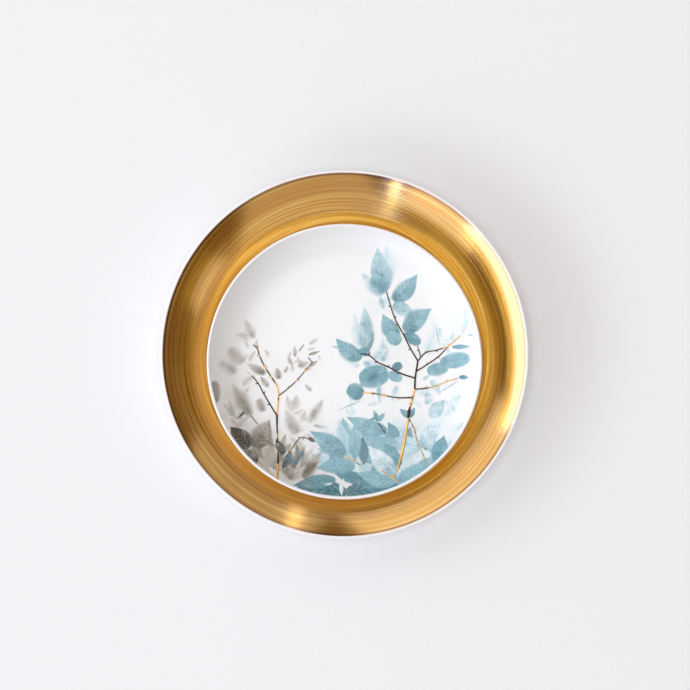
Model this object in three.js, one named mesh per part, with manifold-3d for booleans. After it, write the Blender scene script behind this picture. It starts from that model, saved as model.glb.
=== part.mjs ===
// A 28 cm porcelain dinner plate lined with brushed gold, and the 21 cm porcelain
// plate with leaf decoration that lies loose in it. Millimetres, +Z up. The origin
// is on the table, at the centre of the dinner plate's foot ring.
import * as THREE from 'three';
import { mergeVertices } from 'three/addons/utils/BufferGeometryUtils.js';
import Module from 'manifold-3d';

// ---- Dinner plate ----
const dinnerDiameter = 280;
const dinnerHeight = 28; // table to the top of the lip
const dinnerWallWidth = 55; // in plan, from the flat well to the lip's edge
const dinnerWellThickness = 5;
const dinnerLipThickness = 2.6;
const dinnerFootWidth = 4;
const dinnerFootHeight = 3;
const dinnerFootInset = 3; // foot ring's outer side, inside the edge of the flat
const goldThickness = 0.3;
const goldToLip = 0.45; // face left bare between the gold and the round of the lip

// ---- Leaf plate ----
const leafDiameter = 209;
const leafHeight = 20;
const leafWallWidth = 28.5;
const leafWellThickness = 4;
const leafLipThickness = 2.4;
const leafFootWidth = 3;
const leafFootHeight = 2.5;
const leafFootInset = 12;
const leafAside = 5.5; // how far the loose plate lies from the middle, towards -Y
const transferThickness = 0.3;
const transferToLip = 0.45;
const giltHeight = 0.4;
const giltToTransferEdge = 1.5;

// ---- Shared ----
const clearance = 0.3; // between touching surfaces
const around = 72; // facets in a full turn
const wallSteps = 8;
const lipSteps = 5;
const footBevel = 0.8;
const closingRounds = 40; // for the face's end angle

// The inner face is a flat well and one arc, tangent to the well, that ends in the
// round lip. The lip's size and the arc's end angle depend on each other, so the
// angle is closed in on in a few rounds.
function plateFace(diameter, height, wallWidth, wellZ, lipThickness) {
  const lipRadius = lipThickness / 2;
  const wellRadius = diameter / 2 - wallWidth;
  let sweep = Math.PI / 4;
  for (let round = 0; round < closingRounds; round += 1) {
    const run = wallWidth - lipRadius * (1 + Math.sin(sweep));
    const rise = height - lipRadius * (1 - Math.cos(sweep)) - wellZ;
    sweep = 2 * Math.atan2(rise, run);
  }
  const run = wallWidth - lipRadius * (1 + Math.sin(sweep));
  const arcRadius = run / Math.sin(sweep);
  const edge = wellRadius + run;
  return { wellRadius, wellZ, lipRadius, sweep, arcRadius, edge };
}

// A point on the arc, or on the parallel arc at a depth below it.
function onWall(face, angle, depth) {
  const radius = face.arcRadius + depth;
  return new THREE.Vector2(
    face.wellRadius + radius * Math.sin(angle),
    face.wellZ + face.arcRadius - radius * Math.cos(angle),
  );
}

// The angle at which a parallel arc reaches a distance from the plate's axis.
function wallAngle(face, distance, depth) {
  return Math.asin((distance - face.wellRadius) / (face.arcRadius + depth));
}

// The inner face, or a surface parallel to it, from the axis out to an angle.
function facePath(face, endAngle, depth) {
  const path = [new THREE.Vector2(0, face.wellZ - depth)];
  for (let i = 0; i <= wallSteps; i += 1) {
    path.push(onWall(face, (endAngle * i) / wallSteps, depth));
  }
  return path;
}

// The outer surface runs in from the lip to the foot, with the wall thickening on
// the way, then under the foot ring and across the recess to the axis.
function undersidePath(face, foot, wellThickness) {
  const path = [];
  for (let i = 1; i <= wallSteps; i += 1) {
    const share = i / wallSteps;
    const thickness = THREE.MathUtils.lerp(2 * face.lipRadius, wellThickness, share);
    path.push(onWall(face, face.sweep * (1 - share), thickness));
  }
  const recessZ = face.wellZ - wellThickness;
  path.push(new THREE.Vector2(foot.outer, recessZ));
  path.push(new THREE.Vector2(foot.outer - footBevel, 0));
  path.push(new THREE.Vector2(foot.inner + footBevel, 0));
  path.push(new THREE.Vector2(foot.inner, recessZ));
  path.push(new THREE.Vector2(0, recessZ));
  return path;
}

// The lip is half a circle from the inner face to the outer one.
function lipPath(face) {
  const centre = onWall(face, face.sweep, face.lipRadius);
  const path = [];
  for (let i = 0; i <= lipSteps; i += 1) {
    const angle = face.sweep + Math.PI / 2 - (Math.PI * i) / lipSteps;
    path.push(new THREE.Vector2(
      centre.x + face.lipRadius * Math.cos(angle),
      centre.y + face.lipRadius * Math.sin(angle),
    ));
  }
  return path;
}

// One fired body: the face is sunk by the depth of the layer that lies in it, out
// to the layer's edge and its clearance, where a small step comes back up.
function plateBodyProfile(face, foot, wellThickness, layerThickness, layerEdge) {
  const sunk = layerThickness + clearance;
  const stepAt = wallAngle(face, layerEdge + clearance, sunk);
  return [
    ...facePath(face, stepAt, sunk),
    ...lipPath(face),
    ...undersidePath(face, foot, wellThickness),
  ];
}

// A layer of even thickness whose upper side is the plate's true inner face.
function layerProfile(face, layerThickness, layerEdge) {
  const endAngle = wallAngle(face, layerEdge, layerThickness);
  return [
    ...facePath(face, endAngle, 0),
    ...facePath(face, endAngle, layerThickness).reverse(),
  ];
}

function footRing(face, width, inset) {
  const outer = face.wellRadius - inset;
  return { outer, inner: outer - width };
}

function turned(profile) {
  const geometry = new THREE.LatheGeometry([...profile].reverse(), around);
  geometry.rotateX(Math.PI / 2);
  return geometry;
}

// ---- Dinner plate shapes ----
const dinnerFace = plateFace(
  dinnerDiameter,
  dinnerHeight,
  dinnerWallWidth,
  dinnerFootHeight + dinnerWellThickness,
  dinnerLipThickness,
);
const goldEdge = dinnerFace.edge - goldToLip;
const dinnerFoot = footRing(dinnerFace, dinnerFootWidth, dinnerFootInset);

const porcelain = new THREE.MeshStandardMaterial({
  color: 0xf6f6f5,
  roughness: 0.12,
  metalness: 0,
});
const brushedGold = new THREE.MeshStandardMaterial({
  color: 0xc08a3c,
  roughness: 0.34,
  metalness: 0.95,
});

const dinnerBody = new THREE.Mesh(
  turned(plateBodyProfile(
    dinnerFace,
    dinnerFoot,
    dinnerWellThickness,
    goldThickness,
    goldEdge,
  )),
  porcelain,
);
dinnerBody.name = 'dinner_plate_body';

const goldLining = new THREE.Mesh(
  turned(layerProfile(dinnerFace, goldThickness, goldEdge)),
  brushedGold,
);
goldLining.name = 'dinner_plate_gold_lining';

// ---- Leaf plate shapes ----
const leafFace = plateFace(
  leafDiameter,
  leafHeight,
  leafWallWidth,
  leafFootHeight + leafWellThickness,
  leafLipThickness,
);
const transferEdge = leafFace.edge - transferToLip;
const leafFoot = footRing(leafFace, leafFootWidth, leafFootInset);

const transferInk = new THREE.MeshStandardMaterial({
  color: 0xdfe6e8,
  roughness: 0.2,
  metalness: 0,
});
const giltEnamel = new THREE.MeshStandardMaterial({
  color: 0xa8702c,
  roughness: 0.3,
  metalness: 0.9,
});

const leafBody = new THREE.Mesh(
  turned(plateBodyProfile(
    leafFace,
    leafFoot,
    leafWellThickness,
    transferThickness,
    transferEdge,
  )),
  porcelain,
);
leafBody.name = 'leaf_plate_body';

const leafTransfer = new THREE.Mesh(
  turned(layerProfile(leafFace, transferThickness, transferEdge)),
  transferInk,
);
leafTransfer.name = 'leaf_plate_leaf_transfer';

// ---- Gilt stems of the two sprays ----
// Each stem is drawn in plan as a path with a width at each end. Distances are from
// the middle of the leaf plate, and a path that starts on another one grows from it.
// They are drawn for a transfer of this radius, and spread to fit another.
const drawnRadius = 102;
const rightSpray = [
  { from: 2.0, to: 1.4, path: [[37, -87.5], [42, -82], [45.4, -64], [48.9, -43], [53.8, -21.3]] },
  { from: 1.4, to: 0.7, path: [[53.8, -21.3], [54.2, -12.9], [56.2, 0.4], [46, 20], [39, 32.6]] },
  { from: 0.8, to: 0.6, path: [[39, 32.6], [35, 45], [32, 53.7]] },
  { from: 0.9, to: 0.6, path: [[56.2, 0.4], [62.2, 6.7], [79.7, 11.6]] },
  { from: 0.9, to: 0.6, path: [[55, -7.6], [71, 3], [79.7, 11.6], [88.8, 20]] },
  { from: 0.9, to: 0.6, path: [[54.2, -12.9], [42, -8.7], [25, -0.3], [12.5, 6]] },
  { from: 0.9, to: 0.6, path: [[53.8, -21.3], [71, -19.2], [86.7, -12.9]] },
  { from: 0.9, to: 0.6, path: [[52.4, -27.6], [37.7, -27.6], [14, -24]] },
  { from: 0.9, to: 0.6, path: [[49.2, -44], [54.5, -56], [63.6, -79]] },
  { from: 0.8, to: 0.6, path: [[37, -87.5], [41.8, -91.2]] },
  { from: 0.8, to: 0.6, path: [[42, -82], [30.7, -83.6]] },
];
const leftSpray = [
  { from: 1.8, to: 1.2, path: [[-50.3, -87.2], [-50.6, -78], [-51.3, -50], [-51.7, -41.6]] },
  { from: 1.2, to: 0.9, path: [[-51.7, -41.6], [-50.6, -26.2], [-51.3, -19.2]] },
  { from: 0.9, to: 0.6, path: [[-51.3, -19.2], [-60.4, -5.2], [-70.2, 13]] },
  { from: 0.8, to: 0.6, path: [[-50.6, -26.4], [-36.6, -16.4], [-24.7, -0.3]] },
  { from: 0.9, to: 0.6, path: [[-51.7, -41.6], [-61.8, -24.8], [-70.9, -10.8], [-75, -7.7]] },
];
const stemStep = 7; // distance between the corners of a drawn stem
const cutAbove = 10; // the cutting outline stands this far above the lip

const wasm = await Module();
wasm.setup();

function toSolid(geometry) {
  const bare = geometry.clone();
  bare.deleteAttribute('normal');
  bare.deleteAttribute('uv');
  const merged = mergeVertices(bare, 1e-4);
  return new wasm.Manifold(new wasm.Mesh({
    numProp: 3,
    vertProperties: new Float32Array(merged.attributes.position.array),
    triVerts: new Uint32Array(merged.index.array),
  }));
}

function toGeometry(solid) {
  const mesh = solid.getMesh();
  const geometry = new THREE.BufferGeometry();
  geometry.setAttribute('position', new THREE.BufferAttribute(mesh.vertProperties, 3));
  geometry.setIndex(new THREE.BufferAttribute(mesh.triVerts, 1));
  geometry.computeVertexNormals();
  return geometry;
}

// A tapering strip along the path, with a pointed end a half width past each end.
function stemOutline({ from, to, path }) {
  const spread = transferEdge / drawnRadius;
  const corners = path.map(([x, y]) => new THREE.Vector2(x, y).multiplyScalar(spread));
  const line = new THREE.SplineCurve(corners);
  const steps = Math.max(2, Math.ceil(line.getLength() / stemStep));
  const left = [];
  const right = [];
  for (let i = 0; i <= steps; i += 1) {
    const share = i / steps;
    const half = THREE.MathUtils.lerp(from, to, share) / 2;
    const at = line.getPointAt(share);
    const along = line.getTangentAt(share);
    const across = new THREE.Vector2(-along.y, along.x).multiplyScalar(half);
    left.push(at.clone().add(across));
    right.push(at.clone().sub(across));
  }
  const start = line.getPointAt(0).sub(line.getTangentAt(0).multiplyScalar(from / 2));
  const end = line.getPointAt(1).add(line.getTangentAt(1).multiplyScalar(to / 2));
  return new THREE.Shape([start, ...right, end, ...left.reverse()]);
}

// The stems stand on the transfer: a thin shell above it, cut to their outline.
const giltAngle = wallAngle(leafFace, transferEdge - giltToTransferEdge, 0);
const giltShell = toSolid(turned([
  ...facePath(leafFace, giltAngle, -clearance - giltHeight),
  ...facePath(leafFace, giltAngle, -clearance).reverse(),
]));

function giltSpray(spray) {
  let outline = null;
  for (const stem of spray) {
    const prism = toSolid(new THREE.ExtrudeGeometry(stemOutline(stem), {
      depth: leafHeight + cutAbove,
      bevelEnabled: false,
    }));
    outline = outline === null ? prism : outline.add(prism);
  }
  return toGeometry(outline.intersect(giltShell));
}

const giltRight = new THREE.Mesh(giltSpray(rightSpray), giltEnamel);
giltRight.name = 'leaf_plate_gilt_stems_right';
const giltLeft = new THREE.Mesh(giltSpray(leftSpray), giltEnamel);
giltLeft.name = 'leaf_plate_gilt_stems_left';

// ---- Assembly ----
// The height of a plate's inner face at a distance from its axis, null past its edge.
function faceZ(face, distance) {
  if (distance <= face.wellRadius) {
    return face.wellZ;
  }
  if (distance > face.edge) {
    return null;
  }
  const across = distance - face.wellRadius;
  return face.wellZ + face.arcRadius - Math.sqrt(face.arcRadius ** 2 - across ** 2);
}

// The loose plate comes down until it first meets the gold: its foot on the flat,
// or its wall, if the dinner plate's wall closes in on it sooner.
function restingHeight() {
  let height = dinnerFace.wellZ;
  for (const under of undersidePath(leafFace, leafFoot, leafWellThickness)) {
    const gold = faceZ(dinnerFace, under.x + leafAside);
    if (gold !== null) {
      height = Math.max(height, gold - under.y);
    }
  }
  return height + clearance;
}

const dinnerPlate = new THREE.Group();
dinnerPlate.add(dinnerBody, goldLining);

const leafPlate = new THREE.Group();
leafPlate.position.set(0, -leafAside, restingHeight());
leafPlate.add(leafBody, leafTransfer, giltRight, giltLeft);

const setting = new THREE.Group();
setting.add(dinnerPlate, leafPlate);

export default setting;
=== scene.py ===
"""A gold-lined porcelain dinner plate with a leaf-decorated porcelain plate in it."""
import math
import random
from dataclasses import dataclass

import bmesh
import bpy
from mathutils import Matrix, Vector, noise


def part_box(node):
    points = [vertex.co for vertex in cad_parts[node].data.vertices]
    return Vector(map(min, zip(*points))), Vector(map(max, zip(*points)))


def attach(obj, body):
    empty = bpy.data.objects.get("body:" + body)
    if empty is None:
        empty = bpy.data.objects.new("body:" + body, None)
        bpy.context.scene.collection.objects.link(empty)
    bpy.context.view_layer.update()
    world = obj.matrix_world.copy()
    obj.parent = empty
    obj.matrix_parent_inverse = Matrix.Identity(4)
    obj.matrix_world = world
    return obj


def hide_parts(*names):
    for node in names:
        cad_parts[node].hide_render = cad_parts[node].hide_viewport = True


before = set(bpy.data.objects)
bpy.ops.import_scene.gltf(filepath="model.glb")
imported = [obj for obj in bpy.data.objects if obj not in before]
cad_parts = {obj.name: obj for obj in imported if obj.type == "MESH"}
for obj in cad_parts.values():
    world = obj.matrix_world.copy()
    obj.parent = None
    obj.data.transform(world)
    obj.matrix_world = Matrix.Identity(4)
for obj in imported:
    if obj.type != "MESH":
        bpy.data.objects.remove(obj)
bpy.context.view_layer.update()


# ----------------------------------------------------------
# The studio: a pale paper floor and soft light from the left, with the camera
# straight above the plates. None of it is part of the object.
# ----------------------------------------------------------
scene = bpy.context.scene
scene.view_settings.view_transform = "Standard"
scene.view_settings.look = "None"

CAMERA_HEIGHT = 1.2
CAMERA_SIDE = 0.0004
CAMERA_BACK = 0.0071
FRAME_WIDTH = 0.5227  # what the camera takes in at the height of the lips
LIP_HEIGHT = 0.028
SENSOR_WIDTH = 36.0

camera_data = bpy.data.cameras.new("overhead_camera")
camera_data.sensor_width = SENSOR_WIDTH
camera_data.lens = SENSOR_WIDTH * (CAMERA_HEIGHT - LIP_HEIGHT) / FRAME_WIDTH
camera = bpy.data.objects.new("overhead_camera", camera_data)
camera.location = (CAMERA_SIDE, CAMERA_BACK, CAMERA_HEIGHT)
scene.collection.objects.link(camera)
scene.camera = camera

sky = bpy.data.worlds.new("studio_tent")
sky.use_nodes = True
fill = sky.node_tree.nodes["Background"]
fill.inputs["Color"].default_value = (1.0, 0.64, 0.36, 1.0)
fill.inputs["Strength"].default_value = 0.17
# the fill light is a dim amber, but the empty room itself looks pale
backdrop = sky.node_tree.nodes.new("ShaderNodeBackground")
backdrop.inputs["Color"].default_value = (0.90, 0.90, 0.90, 1.0)
seen = sky.node_tree.nodes.new("ShaderNodeLightPath")
either = sky.node_tree.nodes.new("ShaderNodeMixShader")
sky.node_tree.links.new(seen.outputs["Is Camera Ray"], either.inputs[0])
sky.node_tree.links.new(fill.outputs[0], either.inputs[1])
sky.node_tree.links.new(backdrop.outputs[0], either.inputs[2])
sky.node_tree.links.new(either.outputs[0], sky.node_tree.nodes["World Output"].inputs[0])
scene.world = sky

LAMP_DISTANCE = 6.0
FLOOR_RADIUS = 3.6
DAYLIGHT = (0.96, 1.0, 1.06)
PALE = (0.98, 1.0, 1.03)
COLD = (0.90, 1.12, 1.80)
# Each softbox: its bearing (anticlockwise from +X), the elevation of its middle, half
# the angles it takes up sideways and upwards, how bright it looks, and its tint.
softboxes = {
    "ceiling_panel": (0, 90, 18, 18, 2.75, DAYLIGHT),
    "main_softbox": (170, 78, 8, 8, 2.0, DAYLIGHT),
    "key_softbox": (191, 21, 33, 8.5, 5.1, (0.93, 0.99, 1.14)),
    "key_wing": (235, 26, 13, 16, 1.7, (0.96, 1.0, 1.05)),
    "strip_front": (253, 21, 0.9, 16, 7.0, COLD),
    "strip_front_top": (253, 50, 1.0, 13, 2.4, COLD),
    "front_panel": (283, 36, 20, 26, 0.6, PALE),
    "back_panel": (127, 28, 30, 22, 1.2, PALE),
    "strip_back": (73, 30, 2.0, 24, 1.8, PALE),
    "right_panel": (56, 25, 23, 18, 0.5, PALE),
    "side_panel": (332, 48, 7, 10, 0.8, PALE),
}
for name, (bearing, elevation, half_wide, half_tall, glow, tint) in softboxes.items():
    lamp = bpy.data.lights.new(name, "AREA")
    lamp.shape = "RECTANGLE"
    lamp.size = 2 * LAMP_DISTANCE * math.tan(math.radians(half_wide))
    lamp.size_y = 2 * LAMP_DISTANCE * math.tan(math.radians(half_tall))
    lamp.energy = glow * math.pi * lamp.size * lamp.size_y
    lamp.color = tint
    turn = math.radians(bearing)
    lift = math.radians(elevation)
    spot = LAMP_DISTANCE * Vector((
        math.cos(lift) * math.cos(turn),
        math.cos(lift) * math.sin(turn),
        math.sin(lift),
    ))
    box = bpy.data.objects.new(name, lamp)
    box.location = spot
    box.rotation_euler = (-spot).to_track_quat("-Z", "Y").to_euler()
    box.visible_camera = False
    scene.collection.objects.link(box)


class Signal:
    """A number that changes over a surface, so that sums of them read as sums."""

    def __init__(self, finish, socket):
        self.finish = finish
        self.socket = socket

    def __add__(self, other):
        return self.finish.math("ADD", self, other)

    def __sub__(self, other):
        return self.finish.math("SUBTRACT", self, other)

    def __rsub__(self, other):
        return self.finish.math("SUBTRACT", other, self)

    def __mul__(self, other):
        return self.finish.math("MULTIPLY", self, other)

    def __truediv__(self, other):
        return self.finish.math("DIVIDE", self, other)

    __radd__ = __add__
    __rmul__ = __mul__


class Finish:
    """One material as it is mixed: its nodes, and the shader that they end in."""

    def __init__(self, name):
        self.material = bpy.data.materials.new(name)
        self.material.use_nodes = True
        self.tree = self.material.node_tree
        self.tree.nodes.clear()

    def node(self, kind, settings=None, sockets=None):
        made = self.tree.nodes.new(kind)
        for name, value in (settings or {}).items():
            if name == "stops":
                ramp = made.color_ramp
                while len(ramp.elements) < len(value):
                    ramp.elements.new(1.0)
                for element, (place, colour) in zip(ramp.elements, value):
                    element.position = place
                    element.color = colour
            else:
                setattr(made, name, value)
        for name, value in (sockets or {}).items():
            if isinstance(value, Signal):
                value = value.socket
            if isinstance(value, bpy.types.NodeSocket):
                self.tree.links.new(value, made.inputs[name])
            else:
                made.inputs[name].default_value = value
        return made

    def signal(self, node, output=0):
        return Signal(self, node.outputs[output])

    def math(self, operation, *values):
        sockets = dict(enumerate(values))
        return self.signal(self.node("ShaderNodeMath", {"operation": operation}, sockets))

    def between(self, value, low, high):
        """Goes smoothly from 0 at low to 1 at high, and stays level beyond them."""
        settings = {"interpolation_type": "SMOOTHSTEP"}
        sockets = {"Value": value, "From Min": low, "From Max": high}
        return self.signal(self.node("ShaderNodeMapRange", settings, sockets))

    def blend(self, share, first, second, how="MIX"):
        """A colour between two others."""
        settings = {"data_type": "RGBA", "blend_type": how, "clamp_factor": True}
        return self.node("ShaderNodeMix", settings, {0: share, 6: first, 7: second}).outputs[2]

    def place(self):
        return self.node("ShaderNodeTexCoord").outputs["Object"]

    def split(self, vector):
        parts = self.node("ShaderNodeSeparateXYZ", None, {0: vector})
        return [self.signal(parts, axis) for axis in range(3)]

    def cloud(self, vector, scale, detail=2.0, roughness=0.5, shift=0.0):
        """Soft noise between 0 and 1, with so many cells to each unit of the vector."""
        if shift:
            offset = {0: vector, 1: (shift, shift, shift)}
            vector = self.node("ShaderNodeVectorMath", {"operation": "ADD"}, offset).outputs[0]
        sockets = {"Vector": vector, "Scale": scale, "Detail": detail, "Roughness": roughness}
        return self.signal(self.node("ShaderNodeTexNoise", None, sockets))

    def bump(self, height, distance):
        return self.node("ShaderNodeBump", None, {"Height": height, "Distance": distance}).outputs[0]

    def coat(self, sockets):
        """Ends the material in one Principled shader."""
        shader = self.node("ShaderNodeBsdfPrincipled", None, sockets)
        self.node("ShaderNodeOutputMaterial", None, {"Surface": shader.outputs[0]})
        return self.material


def floor_paper():
    paper = Finish("floor_paper")
    grain = paper.cloud(paper.place(), 300.0, 3.0)
    tone = paper.blend(grain, (0.86, 0.86, 0.86, 1), (0.89, 0.89, 0.89, 1))
    return paper.coat({"Base Color": tone, "Roughness": 0.9, "Specular IOR Level": 0.1})


def make_piece(name, shape, material):
    """The finished shape as an object at the origin, in its material."""
    mesh = bpy.data.meshes.new(name)
    shape.to_mesh(mesh)
    shape.free()
    mesh.materials.append(material)
    piece = bpy.data.objects.new(name, mesh)
    scene.collection.objects.link(piece)
    return piece


floor_shape = bmesh.new()
bmesh.ops.create_circle(floor_shape, cap_ends=True, segments=128, radius=FLOOR_RADIUS)
make_piece("studio_floor", floor_shape, floor_paper())


# ----------------------------------------------------------
# Dinner plate body: hard white porcelain, jiggered on a mould and fired in one
# piece with its foot ring, then glazed all over but for the foot's wiped ring.
# ----------------------------------------------------------
MM = 0.001
TURN_STEPS = 256
LIP_STEPS = 12
WALL_STEPS = 28
CLOSING_ROUNDS = 40  # the lip and the angle the arc ends at depend on each other
SHARP_CORNER = math.radians(35)
WIPED_EDGE = 0.4 * MM  # over which the glaze thins out at the foot's bare ring


class PlateForm:
    """A plate's inner face: a flat well, then one arc that ends in a round lip."""

    def __init__(self, node, wall_width, well_thickness, foot_height, lip_thickness):
        low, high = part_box(node)
        self.middle = Vector(((low[0] + high[0]) / 2, (low[1] + high[1]) / 2, low[2]))
        self.radius = (high[0] - low[0]) / 2
        self.height = high[2] - low[2]
        self.foot_height = foot_height
        self.well_thickness = well_thickness
        self.well_z = foot_height + well_thickness
        self.well_radius = self.radius - wall_width
        self.lip = lip_thickness / 2
        self.sweep = math.pi / 4
        for _ in range(CLOSING_ROUNDS):
            run = wall_width - self.lip * (1 + math.sin(self.sweep))
            rise = self.height - self.lip * (1 - math.cos(self.sweep)) - self.well_z
            self.sweep = 2 * math.atan2(rise, run)
        self.arc = run / math.sin(self.sweep)

    def on_wall(self, angle, depth):
        reach = self.arc + depth
        across = self.well_radius + reach * math.sin(angle)
        return across, self.well_z + self.arc - reach * math.cos(angle)

    def face_z(self, distance):
        """The height of the face over the foot of the plate."""
        if distance <= self.well_radius:
            return self.well_z
        across = min(distance - self.well_radius, self.arc * math.sin(self.sweep))
        return self.well_z + self.arc - math.sqrt(self.arc ** 2 - across ** 2)

    def angle_at(self, distance, depth=0.0):
        return math.asin((distance - self.well_radius) / (self.arc + depth))

    def body_profile(self, foot_inset, foot_width, sunk, layer_edge):
        """From the axis, over the face and the lip, and back under the foot."""
        points = [(0.0, self.well_z - sunk)]
        end = self.angle_at(layer_edge, sunk)
        for step in range(WALL_STEPS + 1):
            points.append(self.on_wall(end * step / WALL_STEPS, sunk))
        centre_r, centre_z = self.on_wall(self.sweep, self.lip)
        for step in range(LIP_STEPS + 1):
            angle = self.sweep + math.pi / 2 - math.pi * step / LIP_STEPS
            points.append((
                centre_r + self.lip * math.cos(angle),
                centre_z + self.lip * math.sin(angle),
            ))
        for step in range(1, WALL_STEPS + 1):
            share = step / WALL_STEPS
            depth = 2 * self.lip + (self.well_thickness - 2 * self.lip) * share
            points.append(self.on_wall(self.sweep * (1 - share), depth))
        outer = self.well_radius - foot_inset
        inner = outer - foot_width
        fillet = 0.7 * MM
        recess = self.foot_height
        # a side of the foot ring, from its fillet down to its rounded edge
        side = [
            (-fillet, recess),
            (-0.15 * fillet, recess - 0.4 * fillet),
            (0.0, recess - fillet),
            (0.2 * MM, 0.5 * MM),
            (0.8 * MM, 0.0),
        ]
        points += [(outer - inwards, z) for inwards, z in side]
        points += [(inner + inwards, z) for inwards, z in reversed(side)]
        return points + [(0.0, recess)]


def turn_on_wheel(name, form, profile, material):
    """One closed body of revolution about the plate's own axis."""
    shape = bmesh.new()
    corners = [shape.verts.new((r, 0.0, z)) for r, z in profile]
    edges = [shape.edges.new(pair) for pair in zip(corners, corners[1:])]
    bmesh.ops.spin(
        shape,
        geom=corners + edges,
        cent=(0, 0, 0),
        axis=(0, 0, 1),
        angle=2 * math.pi,
        steps=TURN_STEPS,
        use_merge=True,
    )
    bmesh.ops.remove_doubles(shape, verts=shape.verts, dist=1e-6)
    bmesh.ops.recalc_face_normals(shape, faces=shape.faces)
    bmesh.ops.translate(shape, verts=shape.verts, vec=form.middle)
    for face in shape.faces:
        face.smooth = True
    piece = make_piece(name, shape, material)
    piece.data.set_sharp_from_angle(angle=SHARP_CORNER)
    return piece


def porcelain_glaze(name, form, foot_inset, foot_width):
    """White glaze with a breath of unevenness, and bare bisque under the foot."""
    glaze = Finish(name)
    place = glaze.place()
    across = glaze.node(
        "ShaderNodeVectorMath",
        {"operation": "SUBTRACT"},
        {0: place, 1: (form.middle.x, form.middle.y, form.middle.z)},
    ).outputs[0]
    x, y, z = glaze.split(across)
    distance = glaze.math("SQRT", x * x + y * y)
    pooling = glaze.cloud(place, 26.0, 2.0)
    ripple = glaze.cloud(place, 160.0, 2.0, shift=3.0)
    speck = glaze.cloud(place, 900.0, 1.0, shift=7.0)
    sand = glaze.cloud(place, 5200.0, 2.0, shift=5.0)
    outer = form.well_radius - foot_inset
    inner = outer - foot_width
    in_ring = glaze.between(distance, inner, inner + WIPED_EDGE)
    in_ring = in_ring * (1 - glaze.between(distance, outer - WIPED_EDGE, outer))
    bare = in_ring * (1 - glaze.between(z, 0.3 * MM, 0.6 * MM))
    white = glaze.blend(pooling, (0.85, 0.852, 0.853, 1), (0.88, 0.882, 0.88, 1))
    specks = glaze.between(speck, 0.79, 0.83) * 0.25
    white = glaze.blend(specks, white, (0.55, 0.50, 0.44, 1))
    bisque = glaze.blend(sand, (0.74, 0.71, 0.66, 1), (0.83, 0.81, 0.77, 1))
    height = ripple * 0.7 + bare * sand * 1.6
    return glaze.coat({
        "Base Color": glaze.blend(bare, white, bisque),
        "Roughness": bare * 0.55 + pooling * 0.05 + 0.14,
        "IOR": 1.5,
        "Normal": glaze.bump(height, 0.04 * MM),
    })


def fired_body(name, form, foot_inset, foot_width, layer, layer_end):
    """A glazed body, its face sunk to take a layer that ends at a distance from its axis."""
    profile = form.body_profile(foot_inset, foot_width, layer + GAP, layer_end - SUNK_SHORT)
    glaze = porcelain_glaze(name + "_glaze", form, foot_inset, foot_width)
    return turn_on_wheel(name, form, profile, glaze)


GOLD_LAYER = 0.3 * MM
GAP = 0.3 * MM  # left under a layer, as in the solid model
LAYER_SHORT = 0.02 * MM  # how far a layer stops short of where the lip starts
SUNK_SHORT = 0.15 * MM  # and the face that is sunk for it
dinner_form = PlateForm(
    "dinner_plate_body",
    wall_width=55 * MM,
    well_thickness=5 * MM,
    foot_height=3 * MM,
    lip_thickness=2.6 * MM,
)
gold_end = dinner_form.on_wall(dinner_form.sweep, 0)[0]
dinner_porcelain = fired_body(
    "dinner_plate_porcelain",
    dinner_form,
    foot_inset=3 * MM,
    foot_width=4 * MM,
    layer=GOLD_LAYER,
    layer_end=gold_end,
)
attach(dinner_porcelain, "dinner_plate")
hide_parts("dinner_plate_body")


# ----------------------------------------------------------
# Gold lining: liquid gold laid over the glaze of the whole inner face, fired,
# and brushed round and round on the wheel, so that every brush mark is a circle.
# ----------------------------------------------------------
GOLD_RIM = gold_end - LAYER_SHORT


def lining_profile(form, thickness, end_distance):
    """An even layer: its upper side out from the axis, and its lower side back."""
    upper = [(0.0, form.well_z)]
    lower = [(0.0, form.well_z - thickness)]
    end = form.angle_at(end_distance)
    for step in range(WALL_STEPS + 1):
        angle = end * step / WALL_STEPS
        upper.append(form.on_wall(angle, 0.0))
        lower.append(form.on_wall(angle, thickness))
    return upper + lower[::-1]


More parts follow.
